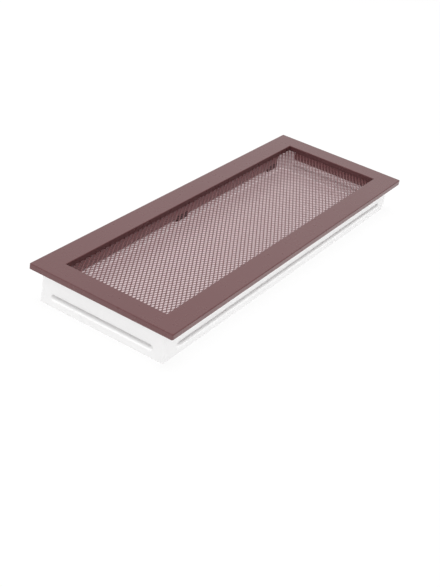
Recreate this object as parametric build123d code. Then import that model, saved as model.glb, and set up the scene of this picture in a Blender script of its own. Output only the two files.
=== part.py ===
from build123d import *
import os

# Vent grille lying face up, in millimetres: the mounting frame's rear rim is at z = 0, +Z points out
# of the wall, X runs along the long sides and the origin is in the middle of the rear rim.

# Face: one folded sheet with a window, a return lip outside and a short lip round the window
FACE_LENGTH = 490.0
FACE_WIDTH = 170.0
BORDER_WIDTH = 25.0
FACE_SHEET = 1.0
OUTER_LIP_DEPTH = 6.0
INNER_LIP_DEPTH = 6.0
FACE_CORNER_RADIUS = 1.5
FACE_BEND_RADIUS = 1.0

# Mounting frame: a folded sleeve that is built into the wall, with the face standing out past it
FACE_OVERHANG_ENDS = 7.0
FACE_OVERHANG_SIDES = 10.5
SLEEVE_DEPTH = 39.0
SLEEVE_SHEET = 1.0
SLEEVE_CORNER_RADIUS = 3.0

# Bead pressed outwards in each side of the sleeve, where the clips catch
BEAD_HEIGHT = 11.0
BEAD_BAND = 6.5
BEAD_RISE = 1.8
LONG_BEAD_END_GAP = 21.0
SHORT_BEAD_END_GAP = 13.5

# Angle strips under the border, flange outwards, with a leg that reaches down inside the sleeve
STRIP_SHEET = 1.0
STRIP_BEND_RADIUS = 1.0
STRIP_TO_SLEEVE_GAP = 2.0
FLANGE_WIDTH = 8.0
LONG_STRIP_EDGE_ABOVE_BEAD = 1.5
SHORT_STRIP_HEIGHT = 21.0
LONG_STRIP_END_GAP = 21.0
SHORT_STRIP_END_GAP = 14.5

# Spring clips pushed on to the lower edge of the long strips
CLIP_SHEET = 0.5
CLIP_WIDTH = 20.0
CLIP_END_GAP = 1.0
CLIP_INNER_LEG = 3.0
CLIP_DROP = 4.5
CLIP_FOOT = 1.65
CLIP_OUTER_LEG_RISE = 4.2
CLIP_BEND_RADIUS = 0.8
CLIP_CREST_CLEARANCE = 0.5

# Expanded metal panel, drawn with wide diamond gaps
MESH_SHEET = 1.3
MESH_TO_STRIP_GAP = 0.3
MESH_STRAND = 3.0
MESH_GAPS_ALONG = 11
MESH_GAP_ROWS = 11

# Levels and faces that the pieces share
FACE_BACK = SLEEVE_DEPTH + STRIP_SHEET
FACE_TOP = FACE_BACK + FACE_SHEET
WINDOW_LENGTH = FACE_LENGTH - 2 * BORDER_WIDTH
WINDOW_WIDTH = FACE_WIDTH - 2 * BORDER_WIDTH
SLEEVE_LENGTH = FACE_LENGTH - 2 * FACE_OVERHANG_ENDS
SLEEVE_WIDTH = FACE_WIDTH - 2 * FACE_OVERHANG_SIDES
SLEEVE_INNER_X = SLEEVE_LENGTH / 2 - SLEEVE_SHEET
SLEEVE_INNER_Y = SLEEVE_WIDTH / 2 - SLEEVE_SHEET
STRIP_OUTER_X = SLEEVE_INNER_X - STRIP_TO_SLEEVE_GAP
STRIP_OUTER_Y = SLEEVE_INNER_Y - STRIP_TO_SLEEVE_GAP
LONG_STRIP_LENGTH = 2 * (STRIP_OUTER_X - LONG_STRIP_END_GAP)
SHORT_STRIP_LENGTH = 2 * (STRIP_OUTER_Y - SHORT_STRIP_END_GAP)
LONG_STRIP_EDGE = BEAD_HEIGHT + LONG_STRIP_EDGE_ABOVE_BEAD
SHORT_STRIP_EDGE = FACE_BACK - SHORT_STRIP_HEIGHT


def rounded_block(length, width, radius, bottom, top):
    """Block with rounded upright edges, centred on Z."""
    return extrude(Pos(0, 0, bottom) * RectangleRounded(length, width, radius), top - bottom)


def square_block(length, width, bottom, top):
    """Block with sharp edges, centred on Z."""
    return extrude(Pos(0, 0, bottom) * Rectangle(length, width), top - bottom)


def bent_sheet(points, radius, sheet, length):
    """Sheet of the given thickness along a bent line in Y and Z, drawn out along X."""
    centre_line = FilletPolyline(*points, radius=radius)
    section = trace(centre_line, sheet)
    return extrude(Plane.YZ.offset(-length / 2) * section, length)


def face_frame():
    """Face sheet with its border, outer return lip and window lip."""
    pan = rounded_block(FACE_LENGTH, FACE_WIDTH, FACE_CORNER_RADIUS, FACE_TOP - OUTER_LIP_DEPTH, FACE_TOP)
    pan -= rounded_block(
        FACE_LENGTH - 2 * FACE_SHEET,
        FACE_WIDTH - 2 * FACE_SHEET,
        FACE_CORNER_RADIUS - FACE_SHEET,
        FACE_TOP - OUTER_LIP_DEPTH,
        FACE_BACK,
    )
    pan += square_block(
        WINDOW_LENGTH + 2 * FACE_SHEET,
        WINDOW_WIDTH + 2 * FACE_SHEET,
        FACE_TOP - INNER_LIP_DEPTH,
        FACE_TOP,
    )
    pan -= square_block(WINDOW_LENGTH, WINDOW_WIDTH, FACE_TOP - INNER_LIP_DEPTH, FACE_TOP)
    return fillet(pan.faces().sort_by(Axis.Z)[-1].edges(), FACE_BEND_RADIUS)


def mesh_panel():
    """Expanded metal behind the window: staggered rows of diamond gaps in one sheet."""
    top = FACE_TOP - INNER_LIP_DEPTH
    sheet = Rectangle(
        2 * (STRIP_OUTER_X - STRIP_SHEET - MESH_TO_STRIP_GAP),
        2 * (STRIP_OUTER_Y - STRIP_SHEET - MESH_TO_STRIP_GAP),
    )
    long_pitch = WINDOW_LENGTH / MESH_GAPS_ALONG
    row_pitch = WINDOW_WIDTH / (MESH_GAP_ROWS + 1)
    half_cell = Vector(long_pitch / 2, row_pitch)
    strand_to_middle = half_cell.X * half_cell.Y / half_cell.length
    half_gap = half_cell * (1 - MESH_STRAND / 2 / strand_to_middle)
    diamond = Polygon((half_gap.X, 0), (0, half_gap.Y), (-half_gap.X, 0), (0, -half_gap.Y))
    centres = []
    for row in range(MESH_GAP_ROWS):
        count = MESH_GAPS_ALONG - row % 2
        y = (row - (MESH_GAP_ROWS - 1) / 2) * row_pitch
        for column in range(count):
            centres.append(((column - (count - 1) / 2) * long_pitch, y))
    sheet -= Locations(*centres) * diamond
    return extrude(Pos(0, 0, top - MESH_SHEET) * sheet, MESH_SHEET)


def angle_strip(length, outer_face, edge):
    """Angle strip on the +Y side: a flange under the border and a leg down to the given edge."""
    flange_level = FACE_BACK - STRIP_SHEET / 2
    leg = outer_face - STRIP_SHEET / 2
    flange_end = outer_face - STRIP_SHEET + FLANGE_WIDTH
    points = [(flange_end, flange_level), (leg, flange_level), (leg, edge)]
    return bent_sheet(points, STRIP_BEND_RADIUS, STRIP_SHEET, length)


def long_strip():
    """Strip on the +Y side."""
    return angle_strip(LONG_STRIP_LENGTH, STRIP_OUTER_Y, LONG_STRIP_EDGE)


def short_strip():
    """Strip on the +X side."""
    return Rot(0, 0, -90) * angle_strip(SHORT_STRIP_LENGTH, STRIP_OUTER_X, SHORT_STRIP_EDGE)


def spring_clip():
    """Clip in the middle of the +Y strip: a leg inside, a bend under the edge, a crest in the bead."""
    inner_leg = STRIP_OUTER_Y - STRIP_SHEET - CLIP_SHEET / 2
    outer_leg_end = STRIP_OUTER_Y + CLIP_SHEET / 2
    bottom = LONG_STRIP_EDGE - CLIP_DROP + CLIP_SHEET / 2
    crest = SLEEVE_INNER_Y + BEAD_RISE - CLIP_CREST_CLEARANCE - CLIP_SHEET / 2
    points = [
        (inner_leg, LONG_STRIP_EDGE + CLIP_INNER_LEG),
        (inner_leg, bottom),
        (inner_leg + CLIP_FOOT, bottom),
        (crest, BEAD_HEIGHT),
        (outer_leg_end, BEAD_HEIGHT + CLIP_OUTER_LEG_RISE),
    ]
    return bent_sheet(points, CLIP_BEND_RADIUS, CLIP_SHEET, CLIP_WIDTH)


def bead_bar(straight, radius):
    """Round bar along X with ball ends, which presses a bead into a wall."""
    bar = Rot(0, 90, 0) * Cylinder(radius, straight)
    for end in (-straight / 2, straight / 2):
        bar += Pos(end, 0, 0) * Sphere(radius)
    return bar


def bead_set(shrink):
    """The four bead bars in their places on the sleeve, thinner by shrink."""
    radius = BEAD_RISE / 2 + BEAD_BAND**2 / (8 * BEAD_RISE)
    long_bar = bead_bar(SLEEVE_LENGTH - 2 * LONG_BEAD_END_GAP - BEAD_BAND, radius - shrink)
    short_bar = bead_bar(SLEEVE_WIDTH - 2 * SHORT_BEAD_END_GAP - BEAD_BAND, radius - shrink)
    reach = BEAD_RISE - radius
    bars = []
    for side in (-1, 1):
        bars.append(Pos(0, side * (SLEEVE_WIDTH / 2 + reach), BEAD_HEIGHT) * long_bar)
        bars.append(Pos(side * (SLEEVE_LENGTH / 2 + reach), 0, BEAD_HEIGHT) * Rot(0, 0, 90) * short_bar)
    return bars


def mounting_frame():
    """Sleeve, open at both ends, with a bead pressed into each side."""
    sleeve = rounded_block(SLEEVE_LENGTH, SLEEVE_WIDTH, SLEEVE_CORNER_RADIUS, 0, SLEEVE_DEPTH)
    sleeve += bead_set(0)
    sleeve -= rounded_block(
        2 * SLEEVE_INNER_X,
        2 * SLEEVE_INNER_Y,
        SLEEVE_CORNER_RADIUS - SLEEVE_SHEET,
        0,
        SLEEVE_DEPTH,
    )
    return sleeve - bead_set(SLEEVE_SHEET)


def clip_places():
    """Middle of each clip along X, by its name."""
    outer = LONG_STRIP_LENGTH / 2 - CLIP_END_GAP - CLIP_WIDTH / 2
    return {"left": -outer, "middle": 0.0, "right": outer}


def all_pieces():
    """Every piece in its place, by the name of its node."""
    pieces = {
        "face_frame": face_frame(),
        "mesh_panel": mesh_panel(),
        "long_strip_far": long_strip(),
        "long_strip_near": mirror(long_strip(), about=Plane.XZ),
        "short_strip_right": short_strip(),
        "short_strip_left": mirror(short_strip(), about=Plane.YZ),
        "mounting_frame": mounting_frame(),
    }
    for place, x in clip_places().items():
        clip = Pos(x, 0, 0) * spring_clip()
        pieces[f"clip_far_{place}"] = clip
        pieces[f"clip_near_{place}"] = mirror(clip, about=Plane.XZ)
    return pieces


os.makedirs("parts", exist_ok=True)
for name, piece in all_pieces().items():
    export_step(piece, f"parts/{name}.step")
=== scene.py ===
"""Looks of a fireplace vent grille.

A brown bordered face with an expanded metal mesh, snapped into a white sleeve that stands on a white
table. Sizes are in metres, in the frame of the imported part.
"""

from __future__ import annotations

import logging
import math
from abc import ABC, abstractmethod
from dataclasses import dataclass
from enum import Enum
from typing import NamedTuple

import bmesh
import bpy
from mathutils import Matrix, Quaternion, Vector

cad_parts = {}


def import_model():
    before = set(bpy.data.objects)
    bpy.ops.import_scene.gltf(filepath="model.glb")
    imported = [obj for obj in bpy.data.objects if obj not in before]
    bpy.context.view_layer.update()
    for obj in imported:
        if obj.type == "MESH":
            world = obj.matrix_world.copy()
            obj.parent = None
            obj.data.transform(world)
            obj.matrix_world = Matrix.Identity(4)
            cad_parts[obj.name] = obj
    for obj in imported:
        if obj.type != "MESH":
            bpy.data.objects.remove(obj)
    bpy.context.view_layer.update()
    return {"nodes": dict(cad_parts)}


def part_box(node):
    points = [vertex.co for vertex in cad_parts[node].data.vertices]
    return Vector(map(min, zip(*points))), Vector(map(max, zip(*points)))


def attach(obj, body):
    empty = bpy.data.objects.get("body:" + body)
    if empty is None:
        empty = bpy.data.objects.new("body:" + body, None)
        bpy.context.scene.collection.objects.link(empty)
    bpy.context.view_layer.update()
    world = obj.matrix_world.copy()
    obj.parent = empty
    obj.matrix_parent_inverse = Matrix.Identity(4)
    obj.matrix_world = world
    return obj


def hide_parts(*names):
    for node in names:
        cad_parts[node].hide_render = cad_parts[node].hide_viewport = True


LOG = logging.getLogger("vent_grille")

Colour = tuple[float, float, float]
Point = tuple[float, float, float]
Span = tuple[float, float]

WHITE_LIGHT: Colour = (1.0, 1.0, 1.0)


class Body(Enum):
    """Rigid bodies of the grille."""

    SLEEVE = "sleeve"
    FACE = "face"


class Slot(Enum):
    """Material slots of the record."""

    BROWN_COAT = "brown_coat"
    BROWN_MESH = "brown_mesh"
    WHITE_COAT = "white_coat"
    SPRING_STEEL = "spring_steel"


class Ray(Enum):
    """Kinds of rays, by Light Path's names."""

    CAMERA = "Is Camera Ray"
    GLOSSY = "Is Glossy Ray"
    TRANSMISSION = "Is Transmission Ray"


class Ramp(Enum):
    """Shapes of a ramp from one value to another, by Map Range's names."""

    STRAIGHT = "LINEAR"
    EASED = "SMOOTHSTEP"


class Graph:
    """Adds and joins the nodes of one material, world or geometry tree."""

    # Numbers of the Mix node's colour sockets, whose names other data types share
    MIX_FACTOR = 0
    MIX_FIRST = 6
    MIX_SECOND = 7
    MIX_RESULT = 2

    def __init__(self, tree: bpy.types.NodeTree) -> None:
        """Starts with an empty tree."""
        self.tree = tree
        tree.nodes.clear()

    def add(self, kind: str, settings: dict[str, object] | None = None, **inputs: object) -> bpy.types.Node:
        """Adds a node.

        Args:
            kind: Blender's name of the node's type.
            settings: Values of the node's own properties.
            inputs: Values of its sockets, with spaces in their names written as underscores. A socket
                of another node is joined, and anything else becomes the socket's own value.

        Returns:
            The new node.
        """
        node = self.tree.nodes.new(kind)
        for name, value in (settings or {}).items():
            setattr(node, name, value)
        for name, value in inputs.items():
            self.set(node, name.replace("_", " "), value)
        return node

    def set(self, node: bpy.types.Node, name: str | int, value: object) -> None:
        """Gives a node's socket a value, or joins it to another node's socket.

        Args:
            node: The node that has the socket.
            name: The socket's name or number.
            value: A value or an output socket.
        """
        socket = node.inputs[name]
        if isinstance(value, bpy.types.NodeSocket):
            self.tree.links.new(value, socket)
        else:
            socket.default_value = value

    def fill(self, node: bpy.types.Node, *values: object) -> bpy.types.Node:
        """Sets a node's first sockets in their order.

        Args:
            node: The node.
            values: Values or output sockets, one for each socket.

        Returns:
            The same node.
        """
        for number, value in enumerate(values):
            self.set(node, number, value)
        return node

    def math(self, operation: str, *values: object) -> bpy.types.NodeSocket:
        """Adds a step of arithmetic.

        Args:
            operation: Blender's name of the operation.
            values: The numbers or sockets that it works on.

        Returns:
            The socket with its result.
        """
        node = self.add("ShaderNodeMath", {"operation": operation})
        return self.fill(node, *values).outputs["Value"]

    def mix(self, factor: bpy.types.NodeSocket, first: Colour, second: Colour) -> bpy.types.NodeSocket:
        """Adds a mix of two colours.

        Args:
            factor: A socket that is 0 for the first colour and 1 for the second.
            first: The first colour.
            second: The second colour.

        Returns:
            The socket with the mixed colour.
        """
        node = self.add("ShaderNodeMix", {"data_type": "RGBA"})
        self.set(node, self.MIX_FACTOR, factor)
        self.set(node, self.MIX_FIRST, opaque(first))
        self.set(node, self.MIX_SECOND, opaque(second))
        return node.outputs[self.MIX_RESULT]

    def noise(self, place: bpy.types.NodeSocket, scale: float, detail: float) -> bpy.types.NodeSocket:
        """Adds a cloudy pattern.

        Args:
            place: The socket with the coordinates.
            scale: How many clouds there are to one unit of them.
            detail: How many finer layers lie over the clouds.

        Returns:
            The socket with the pattern's level, from 0 to 1.
        """
        node = self.add("ShaderNodeTexNoise", Vector=place, Scale=scale, Detail=detail)
        return node.outputs["Fac"]

    def ramp(
        self,
        value: bpy.types.NodeSocket,
        low: float | bpy.types.NodeSocket,
        high: float | bpy.types.NodeSocket,
        over: Span = (0.0, 1.0),
        shape: Ramp = Ramp.STRAIGHT,
    ) -> bpy.types.NodeSocket:
        """Adds a ramp from one value to another.

        Args:
            value: The socket that leads up the ramp.
            low: The result at the start.
            high: The result at the end.
            over: The leading value at the start and at the end.
            shape: The ramp's shape.

        Returns:
            The socket with the result.
        """
        node = self.add(
            "ShaderNodeMapRange",
            {"interpolation_type": shape.value},
            Value=value,
            From_Min=over[0],
            From_Max=over[1],
            To_Min=low,
            To_Max=high,
        )
        return node.outputs["Result"]

    def rays(self, *kinds: Ray) -> bpy.types.NodeSocket:
        """Adds a switch for some kinds of rays.

        Args:
            kinds: The kinds.

        Returns:
            A socket that is 1 for those rays and 0 for the others.
        """
        path = self.add("ShaderNodeLightPath").outputs
        switch = path[kinds[0].value]
        for kind in kinds[1:]:
            switch = self.math("MAXIMUM", switch, path[kind.value])
        return switch


def opaque(colour: Colour) -> tuple[float, float, float, float]:
    """Gives a colour a full alpha."""
    return (*colour, 1.0)


class Patterns(NamedTuple):
    """Sockets of a finish's patterns, each with a level from 0 to 1."""

    drift: bpy.types.NodeSocket
    gloss: bpy.types.NodeSocket
    relief: bpy.types.NodeSocket


@dataclass(frozen=True)
class SheetFinish(ABC):
    """What the finishes share: a tone that drifts, an uneven gloss and a fine relief.

    Attributes:
        name: Name of the material.
        colour: Main colour.
        drift_colour: Colour that the main one drifts to.
        roughness: Lowest and highest roughness.
        metallic: 0 for paint and 1 for bare metal.
        relief_depth: Depth of the relief.
        relief_strength: Share of that depth that shows.
        drift_scale: Scale of the drift of tone.
        drift_detail: Finer layers of that drift.
    """

    name: str
    colour: Colour
    drift_colour: Colour
    roughness: Span
    metallic: float = 0.0
    relief_depth: float = 0.00004
    relief_strength: float = 0.18
    drift_scale: float = 11.0
    drift_detail: float = 3.0

    @abstractmethod
    def patterns(self, graph: Graph, place: bpy.types.NodeSocket) -> Patterns:
        """Adds the finish's patterns.

        Args:
            graph: The material's nodes.
            place: The socket with the coordinates.

        Returns:
            The patterns' sockets.
        """

    def material(self) -> bpy.types.Material:
        """Makes the material.

        Returns:
            The finished material, on Object coordinates.
        """
        material = bpy.data.materials.new(self.name)
        material.use_nodes = True
        graph = Graph(material.node_tree)
        place = graph.add("ShaderNodeTexCoord").outputs["Object"]
        patterns = self.patterns(graph, place)
        bump = graph.add(
            "ShaderNodeBump",
            Strength=self.relief_strength,
            Distance=self.relief_depth,
            Height=patterns.relief,
        )
        surface = graph.add(
            "ShaderNodeBsdfPrincipled",
            Base_Color=graph.mix(patterns.drift, self.colour, self.drift_colour),
            Metallic=self.metallic,
            Roughness=graph.ramp(patterns.gloss, *self.roughness),
            Normal=bump.outputs["Normal"],
        )
        graph.add("ShaderNodeOutputMaterial", Surface=surface.outputs["BSDF"])
        return material


@dataclass(frozen=True)
class PowderCoat(SheetFinish):
    """Baked powder coat: a fine orange peel, with a slow drift of tone and gloss over the sheet.

    Attributes:
        gloss_scale: Scale of the uneven gloss.
        gloss_detail: Finer layers of that gloss.
        peel_scale: Scale of the orange peel.
        peel_detail: Finer layers of that peel.
    """

    gloss_scale: float = 65.0
    gloss_detail: float = 4.0
    peel_scale: float = 850.0
    peel_detail: float = 2.0

    def patterns(self, graph: Graph, place: bpy.types.NodeSocket) -> Patterns:
        """Adds the drift, the gloss and the orange peel.

        Args:
            graph: The material's nodes.
            place: The socket with the coordinates.

        Returns:
            The patterns' sockets.
        """
        return Patterns(
            drift=graph.noise(place, self.drift_scale, self.drift_detail),
            gloss=graph.noise(place, self.gloss_scale, self.gloss_detail),
            relief=graph.noise(place, self.peel_scale, self.peel_detail),
        )


@dataclass(frozen=True)
class BluedSteel(SheetFinish):
    """Dark heat-blued spring steel, with fine rolling lines along the strip.

    Attributes:
        line_scale: Scale of the rolling lines along X, Y and Z.
        line_detail: Finer layers of those lines.
    """

    metallic: float = 1.0
    relief_depth: float = 0.00002
    relief_strength: float = 0.15
    drift_scale: float = 120.0
    drift_detail: float = 2.0
    line_scale: Point = (40.0, 2200.0, 2200.0)
    line_detail: float = 3.0

    def patterns(self, graph: Graph, place: bpy.types.NodeSocket) -> Patterns:
        """Adds the drift, and the rolling lines as gloss and relief.

        Args:
            graph: The material's nodes.
            place: The socket with the coordinates.

        Returns:
            The patterns' sockets.
        """
        drawn_out = graph.add("ShaderNodeMapping", Vector=place, Scale=self.line_scale)
        lines = graph.noise(drawn_out.outputs["Vector"], scale=1.0, detail=self.line_detail)
        drift = graph.noise(place, self.drift_scale, self.drift_detail)
        return Patterns(drift=drift, gloss=lines, relief=lines)


FINISHES: dict[Slot, SheetFinish] = {
    Slot.BROWN_COAT: PowderCoat(
        name="brown_powder_coat",
        colour=(0.146, 0.056, 0.058),
        drift_colour=(0.136, 0.051, 0.053),
        roughness=(0.24, 0.32),
    ),
    # The mesh has the same brown coat as the face; this copy is painted lighter, as painted light that
    # makes up for the shade the strands get
    Slot.BROWN_MESH: PowderCoat(
        name="brown_coat_painted_lighter_for_mesh",
        colour=(0.185, 0.076, 0.078),
        drift_colour=(0.172, 0.070, 0.072),
        roughness=(0.28, 0.36),
        peel_scale=1800.0,
        relief_depth=0.00002,
    ),
    Slot.WHITE_COAT: PowderCoat(
        name="white_powder_coat",
        colour=(0.86, 0.855, 0.855),
        drift_colour=(0.82, 0.815, 0.815),
        roughness=(0.4, 0.52),
        peel_scale=600.0,
        relief_strength=0.1,
    ),
    Slot.SPRING_STEEL: BluedSteel(
        name="blued_spring_steel",
        colour=(0.026, 0.018, 0.017),
        drift_colour=(0.018, 0.014, 0.016),
        roughness=(0.36, 0.5),
    ),
}


def dress(node: bpy.types.Object, body: Body, material: bpy.types.Material) -> None:
    """Gives a CAD node its finish.

    Args:
        node: The node's object.
        body: The body that it belongs to.
        material: The finish for all its faces.
    """
    node.data.materials.clear()
    node.data.materials.append(material)
    LOG.info("dressed %s of the %s in %s", node.name, body.value, material.name)


@dataclass
class ExpandedMetal:
    """Panel of expanded metal: a slit and stretched sheet, in staggered rows of long openings.

    Attributes:
        long_way: Pitch of the openings along the panel.
        short_way: Pitch of the openings across the panel.
        strand: Width of a strand, measured across the panel.
        bond: Length of the bond in which the strands of two rows meet.
        sheet: Thickness of the sheet.
        lift: Rise of a leaning strand's high edge, and drop of its low one.
        weld_reach: Distance within which the corners of neighbouring cells become one.
        spare_columns: Columns of cells beyond the panel's length, for the trim to cut.
        spare_rows: Rows of cells beyond the panel's width, for the trim to cut.
        node: CAD node that the panel replaces.
        name: Name of the panel's object.
    """

    long_way: float = 0.0080
    short_way: float = 0.00442
    strand: float = 0.0011
    bond: float = 0.0013
    sheet: float = 0.0005
    lift: float = 0.0004
    weld_reach: float = 0.00001
    spare_columns: int = 2
    spare_rows: int = 3
    node: str = "mesh_panel"
    name: str = "expanded_mesh"

    def cell(self) -> bpy.types.Mesh:
        """Makes one opening with half of each strand round it.

        The strands lean a little, so the far edge of an opening is high and the near edge is low.

        Returns:
            A mesh whose outer edges meet those of the cells beside it.
        """
        half_long = self.long_way / 2
        half_short = self.short_way / 2
        half_bond = self.bond / 2
        half_strand = self.strand / 2
        side = half_short - self.strand
        middle = half_short - half_strand
        lift = self.lift
        outer = [
            (half_long, 0.0, 0.0),
            (half_long - half_bond, half_strand, 0.0),
            (half_bond, middle, 0.0),
            (0.0, half_short, 0.0),
            (-half_bond, middle, 0.0),
            (half_bond - half_long, half_strand, 0.0),
            (-half_long, 0.0, 0.0),
            (half_bond - half_long, -half_strand, 0.0),
            (-half_bond, -middle, 0.0),
            (0.0, -half_short, 0.0),
            (half_bond, -middle, 0.0),
            (half_long - half_bond, -half_strand, 0.0),
        ]
        inner = [
            (half_long - half_bond, 0.0, 0.0),
            (half_bond, side, lift),
            (-half_bond, side, lift),
            (half_bond - half_long, 0.0, 0.0),
            (-half_bond, -side, -lift),
            (half_bond, -side, -lift),
        ]

        # Faces round the opening, from the outer corners to the inner ones
        rim = len(outer)
        ring = [
            (0, 1, rim),
            (1, 2, rim + 1, rim),
            (2, 3, 4, rim + 2, rim + 1),
            (4, 5, rim + 3, rim + 2),
            (5, 6, rim + 3),
            (6, 7, rim + 3),
            (7, 8, rim + 4, rim + 3),
            (8, 9, 10, rim + 5, rim + 4),
            (10, 11, rim, rim + 5),
            (11, 0, rim),
        ]

        # The same ring on both sides of the sheet, with a wall round the opening
        layer = outer + inner
        count = len(layer)
        points = [(x, y, z + self.sheet / 2) for x, y, z in layer]
        points += [(x, y, z - self.sheet / 2) for x, y, z in layer]
        faces = list(ring)
        faces += [tuple(count + corner for corner in reversed(face)) for face in ring]
        for here in range(len(inner)):
            after = (here + 1) % len(inner)
            faces.append((rim + here, rim + after, count + rim + after, count + rim + here))
        mesh = bpy.data.meshes.new("expanded_metal_cell")
        mesh.from_pydata(points, [], faces)
        mesh.validate()
        return mesh

    def tree(self) -> tuple[bpy.types.GeometryNodeTree, dict[str, str]]:
        """Builds the node tree that sets the cell out in staggered rows.

        Returns:
            The tree, and the identifier of each of its inputs by name.
        """
        tree = bpy.data.node_groups.new("staggered_rows", "GeometryNodeTree")
        sockets = {
            "Cell": "NodeSocketGeometry",
            "Long way": "NodeSocketFloat",
            "Row pitch": "NodeSocketFloat",
            "Columns": "NodeSocketInt",
            "Rows": "NodeSocketInt",
            "Weld reach": "NodeSocketFloat",
            "Finish": "NodeSocketMaterial",
        }
        identifiers = {}
        for name, kind in sockets.items():
            made = tree.interface.new_socket(name, in_out="INPUT", socket_type=kind)
            identifiers[name] = made.identifier
        tree.interface.new_socket("Panel", in_out="OUTPUT", socket_type="NodeSocketGeometry")
        graph = Graph(tree)
        given = graph.add("NodeGroupInput").outputs
        length = graph.math("MULTIPLY", graph.math("SUBTRACT", given["Columns"], 1.0), given["Long way"])
        width = graph.math("MULTIPLY", graph.math("SUBTRACT", given["Rows"], 1.0), given["Row pitch"])
        grid = graph.add(
            "GeometryNodeMeshGrid",
            Size_X=length,
            Size_Y=width,
            Vertices_X=given["Columns"],
            Vertices_Y=given["Rows"],
        )

        # Odd rows move a quarter of the long way to one side, and even rows to the other
        place = graph.add("GeometryNodeInputPosition").outputs["Position"]
        across = graph.add("ShaderNodeSeparateXYZ", Vector=place).outputs["Y"]
        from_edge = graph.math("ADD", across, graph.math("DIVIDE", width, 2.0))
        row = graph.math("ROUND", graph.math("DIVIDE", from_edge, given["Row pitch"]))
        odd = graph.math("MODULO", row, 2.0)
        half_way = graph.math("DIVIDE", given["Long way"], 2.0)
        aside = graph.math("MULTIPLY", graph.math("SUBTRACT", odd, 0.5), half_way)
        staggered = graph.add(
            "GeometryNodeSetPosition",
            Geometry=grid.outputs["Mesh"],
            Offset=graph.add("ShaderNodeCombineXYZ", X=aside).outputs["Vector"],
        )

        cells = graph.add(
            "GeometryNodeInstanceOnPoints",
            Points=staggered.outputs["Geometry"],
            Instance=given["Cell"],
        )
        real = graph.add("GeometryNodeRealizeInstances", Geometry=cells.outputs["Instances"])
        welded = graph.add(
            "GeometryNodeMergeByDistance",
            Geometry=real.outputs["Geometry"],
            Distance=given["Weld reach"],
        )
        coated = graph.add(
            "GeometryNodeSetMaterial",
            Geometry=welded.outputs["Geometry"],
            Material=given["Finish"],
        )
        graph.add("NodeGroupOutput", Panel=coated.outputs["Geometry"])
        return tree, identifiers

    def trim(self, mesh: bpy.types.Mesh, low: Vector, high: Vector) -> None:
        """Shears the mesh to the panel's outline and closes the cut ends of the strands.

        Args:
            mesh: The mesh to shear.
            low: The panel's lowest corner.
            high: The panel's highest corner.
        """
        shape = bmesh.new()
        shape.from_mesh(mesh)
        cuts = [
            (low, Vector((-1.0, 0.0, 0.0))),
            (low, Vector((0.0, -1.0, 0.0))),
            (high, Vector((1.0, 0.0, 0.0))),
            (high, Vector((0.0, 1.0, 0.0))),
        ]
        for corner, outwards in cuts:
            everything = shape.verts[:] + shape.edges[:] + shape.faces[:]
            cut = bmesh.ops.bisect_plane(
                shape, geom=everything, plane_co=corner, plane_no=outwards, clear_outer=True
            )
            ends = [item for item in cut["geom_cut"] if isinstance(item, bmesh.types.BMEdge)]
            bmesh.ops.holes_fill(shape, edges=ends, sides=0)
        shape.to_mesh(mesh)
        shape.free()

    def build(self, material: bpy.types.Material) -> bpy.types.Object:
        """Makes the panel in the place of its plain solid.

        Args:
            material: The panel's finish.

        Returns:
            The panel's object, riding on the face.
        """
        low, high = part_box(self.node)
        size = high - low
        row_pitch = self.short_way / 2
        panel = bpy.data.objects.new(self.name, self.cell())
        bpy.context.scene.collection.objects.link(panel)
        modifier = panel.modifiers.new("set_out", "NODES")
        tree, identifiers = self.tree()
        modifier.node_group = tree
        values = {
            "Long way": self.long_way,
            "Row pitch": row_pitch,
            "Columns": math.ceil(size.x / self.long_way) + self.spare_columns,
            "Rows": math.ceil(size.y / row_pitch) + self.spare_rows,
            "Weld reach": self.weld_reach,
            "Finish": material,
        }
        for name, value in values.items():
            modifier[identifiers[name]] = value
        evaluated = panel.evaluated_get(bpy.context.evaluated_depsgraph_get())
        mesh = bpy.data.meshes.new_from_object(evaluated)
        panel.modifiers.remove(modifier)
        panel.data = mesh
        mesh.name = self.name
        mesh.transform(Matrix.Translation((low + high) / 2))
        self.trim(mesh, low, high)
        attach(panel, Body.FACE.value)
        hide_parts(self.node)
        LOG.info("made %s with %d faces", panel.name, len(mesh.polygons))
        return panel


@dataclass
class Face:
    """Folded face sheet with its border, and the angle strips that hang from it."""

    frame: str = "face_frame"
    strips: tuple[str, ...] = ("long_strip_near", "long_strip_far", "short_strip_left", "short_strip_right")

    def dress(self, nodes: dict[str, bpy.types.Object], material: bpy.types.Material) -> None:
        """Coats the face and its strips.

        Args:
            nodes: The CAD nodes by name.
            material: The coat.
        """
        for name in (self.frame, *self.strips):
            dress(nodes[name], Body.FACE, material)


@dataclass
class SpringClips:
    """Spring clips on the lower edges of the long strips."""

    sides: tuple[str, ...] = ("near", "far")
    places: tuple[str, ...] = ("left", "middle", "right")

    def dress(self, nodes: dict[str, bpy.types.Object], material: bpy.types.Material) -> None:
        """Gives the clips their steel.

        Args:
            nodes: The CAD nodes by name.
            material: The steel.
        """
        for side in self.sides:
            for place in self.places:
                dress(nodes[f"clip_{side}_{place}"], Body.FACE, material)


@dataclass
class Sleeve:
    """Mounting frame that is built into the wall."""

    frame: str = "mounting_frame"

    def dress(self, nodes: dict[str, bpy.types.Object], material: bpy.types.Material) -> None:
        """Coats the sleeve.

        Args:
            nodes: The CAD nodes by name.
            material: The coat.
        """
        dress(nodes[self.frame], Body.SLEEVE, material)


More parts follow.
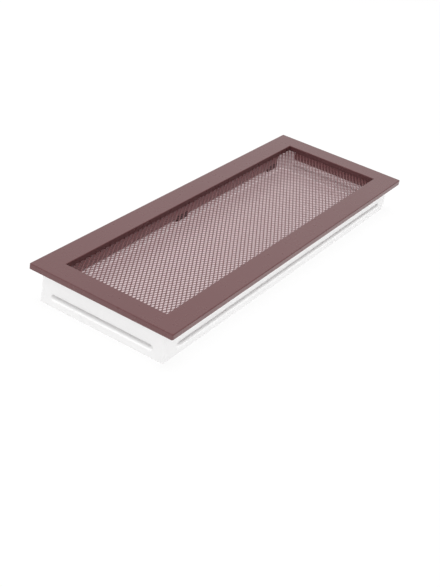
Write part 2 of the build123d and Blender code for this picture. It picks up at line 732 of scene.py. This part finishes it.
@dataclass(frozen=True)
class SoftBox:
    """Wide soft lamp, which neither the camera nor a glossy face shows.

    Attributes:
        name: Name of the lamp's object.
        place: Middle of the lamp.
        aim: Point that it faces.
        size: Its two sides.
        power: Its power in watts.
    """

    name: str
    place: Point
    aim: Point
    size: Span
    power: float

    def build(self) -> bpy.types.Object:
        """Makes the lamp.

        Returns:
            The lamp's object.
        """
        lamp = bpy.data.lights.new(self.name, "AREA")
        lamp.shape = "RECTANGLE"
        lamp.size = self.size[0]
        lamp.size_y = self.size[1]
        lamp.energy = self.power
        holder = bpy.data.objects.new(self.name, lamp)
        holder.location = self.place
        towards = Vector(self.aim) - Vector(self.place)
        holder.rotation_euler = towards.to_track_quat("-Z", "Y").to_euler()
        holder.visible_camera = False
        holder.visible_glossy = False
        bpy.context.scene.collection.objects.link(holder)
        return holder


@dataclass
class Studio:
    """White table in a light tent, with a camera above one end of the grille.

    Attributes:
        floor_size: Side of the table top.
        floor_drop: Gap between the sleeve's rim and the table top.
        table_colour: Colour of the open table, on which shadows fall.
        painted_bounce_colour: Colour of the table inside the sleeve, paler than the open table's, with a
            pink tint that is painted brown bounce light from the mesh.
        table_shown: Tone that the open table shows.
        table_shaded: Tone that the table inside the sleeve shows, lower than the open table's as painted
            half shade from the mesh.
        table_light: Glow with which the open table lights the grille, as a light table does.
        inner_light: Glow with which the table inside the sleeve lights the grille, lower than the open
            table's as painted half shade from the mesh.
        painted_bounce_tint: Pink tint of the table's tone and light inside the sleeve, which is painted
            brown bounce light from the mesh.
        shade_size: Length and width of the table inside the sleeve.
        shade_edge: Width of its soft edge.
        tent_light: Light that the tent gives.
        tent_shown: Tone that the tent shows.
        tent_front: Tone that its open front shows in glossy faces.
        front_towards: Direction of the open front.
        front_range: Where the dimming starts and ends, as cosines from that direction.
        lamp_place: Middle of the lamp.
        lamp_aim: Point that the lamp faces.
        lamp_size: The lamp's two sides.
        lamp_power: The lamp's power in watts.
        camera_place: The camera's place.
        camera_aim: Point in the middle of the picture.
        camera_roll: The camera's turn about its own axis, in degrees.
        camera_lens: Focal length in millimetres.
        camera_sensor: Width of the sensor in millimetres.
    """

    floor_size: float = 14.0
    floor_drop: float = 0.0002
    table_colour: Colour = (0.12, 0.12, 0.12)
    # Pink colour of the table inside the sleeve: painted brown bounce light from the mesh
    painted_bounce_colour: Colour = (0.6, 0.53, 0.54)
    table_shown: float = 0.9
    # Lower tone and glow of the table inside the sleeve: painted half shade from the mesh
    table_shaded: float = 0.355
    table_light: float = 1.5
    inner_light: float = 0.74
    # Pink tint of the table's tone and glow inside the sleeve: painted brown bounce light from the mesh
    painted_bounce_tint: Colour = (1.0, 0.82, 0.85)
    shade_size: Span = (0.476, 0.149)
    shade_edge: float = 0.002
    tent_light: float = 0.5
    tent_shown: float = 1.0
    tent_front: float = 0.2
    front_towards: Point = (-0.36, -0.93, 0.0)
    front_range: Span = (-0.5, 0.2)
    lamp_place: Point = (0.0, 0.2, 1.8)
    lamp_aim: Point = (0.0, 0.0, 0.0)
    lamp_size: Span = (1.4, 1.4)
    lamp_power: float = 24.0
    camera_place: Point = (-0.94733, -0.49548, 0.57645)
    camera_aim: Point = (-0.15249, -0.0752, 0.041)
    camera_roll: float = 10.192
    camera_lens: float = 66.66
    camera_sensor: float = 36.0

    def shade(self, graph: Graph) -> bpy.types.NodeSocket:
        """Marks the part of the table inside the sleeve, where half shade and brown bounce light from the
        mesh are painted.

        Args:
            graph: The nodes to add it to.

        Returns:
            A socket that is 1 inside the sleeve and 0 outside it.
        """
        place = graph.add("ShaderNodeTexCoord").outputs["Object"]
        axes = graph.add("ShaderNodeSeparateXYZ", Vector=place).outputs
        inside = []
        for axis, size in zip(("X", "Y"), self.shade_size):
            away = graph.math("ABSOLUTE", axes[axis])
            edge = (size / 2 - self.shade_edge, size / 2)
            inside.append(graph.ramp(away, 1.0, 0.0, over=edge))
        return graph.math("MULTIPLY", *inside)

    def table_top(self) -> bpy.types.Material:
        """Makes the table's material, which keeps a faint shadow and is clear from below, with painted half
        shade and painted brown bounce light inside the sleeve.

        Returns:
            The finished material.
        """
        material = bpy.data.materials.new("white_table")
        material.use_nodes = True
        graph = Graph(material.node_tree)
        shade = self.shade(graph)
        # Inside the sleeve the table is paler and pink; the pink is painted brown bounce light from the
        # mesh
        colour = graph.mix(shade, self.table_colour, self.painted_bounce_colour)
        plain = graph.add("ShaderNodeBsdfDiffuse", Color=colour)
        # Inside the sleeve the table's seen tone and its glow are lower: painted half shade from the mesh
        shown = graph.ramp(shade, self.table_shown, self.table_shaded)
        unshown = graph.ramp(shade, self.table_light, self.inner_light)
        seen = graph.rays(Ray.CAMERA, Ray.GLOSSY, Ray.TRANSMISSION)
        # The glow inside the sleeve is tinted pink: painted brown bounce light from the mesh
        lit = graph.add(
            "ShaderNodeEmission",
            Color=graph.mix(shade, WHITE_LIGHT, self.painted_bounce_tint),
            Strength=graph.ramp(seen, unshown, shown),
        )
        both = graph.add("ShaderNodeAddShader")
        graph.fill(both, plain.outputs["BSDF"], lit.outputs["Emission"])
        under = graph.add("ShaderNodeNewGeometry").outputs["Backfacing"]
        clear = graph.add("ShaderNodeBsdfTransparent")
        one_way = graph.add("ShaderNodeMixShader")
        graph.fill(one_way, under, both.outputs["Shader"], clear.outputs["BSDF"])
        graph.add("ShaderNodeOutputMaterial", Surface=one_way.outputs["Shader"])
        return material

    def floor(self) -> bpy.types.Object:
        """Makes the table top, just under the sleeve's rim.

        Returns:
            The floor's object.
        """
        half = self.floor_size / 2
        level = -self.floor_drop
        corners = [(-half, -half, level), (half, -half, level), (half, half, level), (-half, half, level)]
        mesh = bpy.data.meshes.new("floor")
        mesh.from_pydata(corners, [], [(0, 1, 2, 3)])
        mesh.materials.append(self.table_top())
        floor = bpy.data.objects.new("floor", mesh)
        bpy.context.scene.collection.objects.link(floor)
        return floor

    def tent(self) -> None:
        """Lights the scene evenly from all round, before a white backdrop.

        Glossy faces mirror a white tent that dims towards its open front.
        """
        world = bpy.data.worlds.new("light_tent")
        bpy.context.scene.world = world
        world.use_nodes = True
        graph = Graph(world.node_tree)
        facing = graph.add("ShaderNodeVectorMath", {"operation": "DOT_PRODUCT"})
        graph.fill(facing, graph.add("ShaderNodeTexCoord").outputs["Generated"], self.front_towards)
        mirrored = graph.ramp(
            facing.outputs["Value"],
            self.tent_shown,
            self.tent_front,
            over=self.front_range,
            shape=Ramp.EASED,
        )
        lit = graph.ramp(graph.rays(Ray.GLOSSY, Ray.TRANSMISSION), self.tent_light, mirrored)
        seen = graph.ramp(graph.rays(Ray.CAMERA), lit, self.tent_shown)
        cloth = graph.add("ShaderNodeBackground", Color=opaque(WHITE_LIGHT), Strength=seen)
        graph.add("ShaderNodeOutputWorld", Surface=cloth.outputs["Background"])

    def camera(self) -> bpy.types.Object:
        """Sets the camera up.

        Returns:
            The camera's object.
        """
        data = bpy.data.cameras.new("camera")
        data.sensor_width = self.camera_sensor
        data.lens = self.camera_lens
        camera = bpy.data.objects.new("camera", data)
        camera.location = self.camera_place
        towards = Vector(self.camera_aim) - Vector(self.camera_place)
        level = towards.to_track_quat("-Z", "Y")
        roll = Quaternion((0.0, 0.0, 1.0), math.radians(self.camera_roll))
        camera.rotation_euler = (level @ roll).to_euler()
        bpy.context.scene.collection.objects.link(camera)
        bpy.context.scene.camera = camera
        return camera

    def build(self) -> None:
        """Sets up camera, floor, tent and lamp."""
        bpy.context.scene.view_settings.view_transform = "Standard"
        self.camera()
        self.floor()
        self.tent()
        SoftBox("soft_lamp", self.lamp_place, self.lamp_aim, self.lamp_size, self.lamp_power).build()


def main() -> None:
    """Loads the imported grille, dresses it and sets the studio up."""
    logging.basicConfig(level=logging.INFO, format="%(message)s")
    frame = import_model()
    nodes = frame["nodes"]
    materials = {slot: finish.material() for slot, finish in FINISHES.items()}
    Face().dress(nodes, materials[Slot.BROWN_COAT])
    SpringClips().dress(nodes, materials[Slot.SPRING_STEEL])
    Sleeve().dress(nodes, materials[Slot.WHITE_COAT])
    ExpandedMetal().build(materials[Slot.BROWN_MESH])
    Studio().build()


if __name__ == "__main__":
    main()
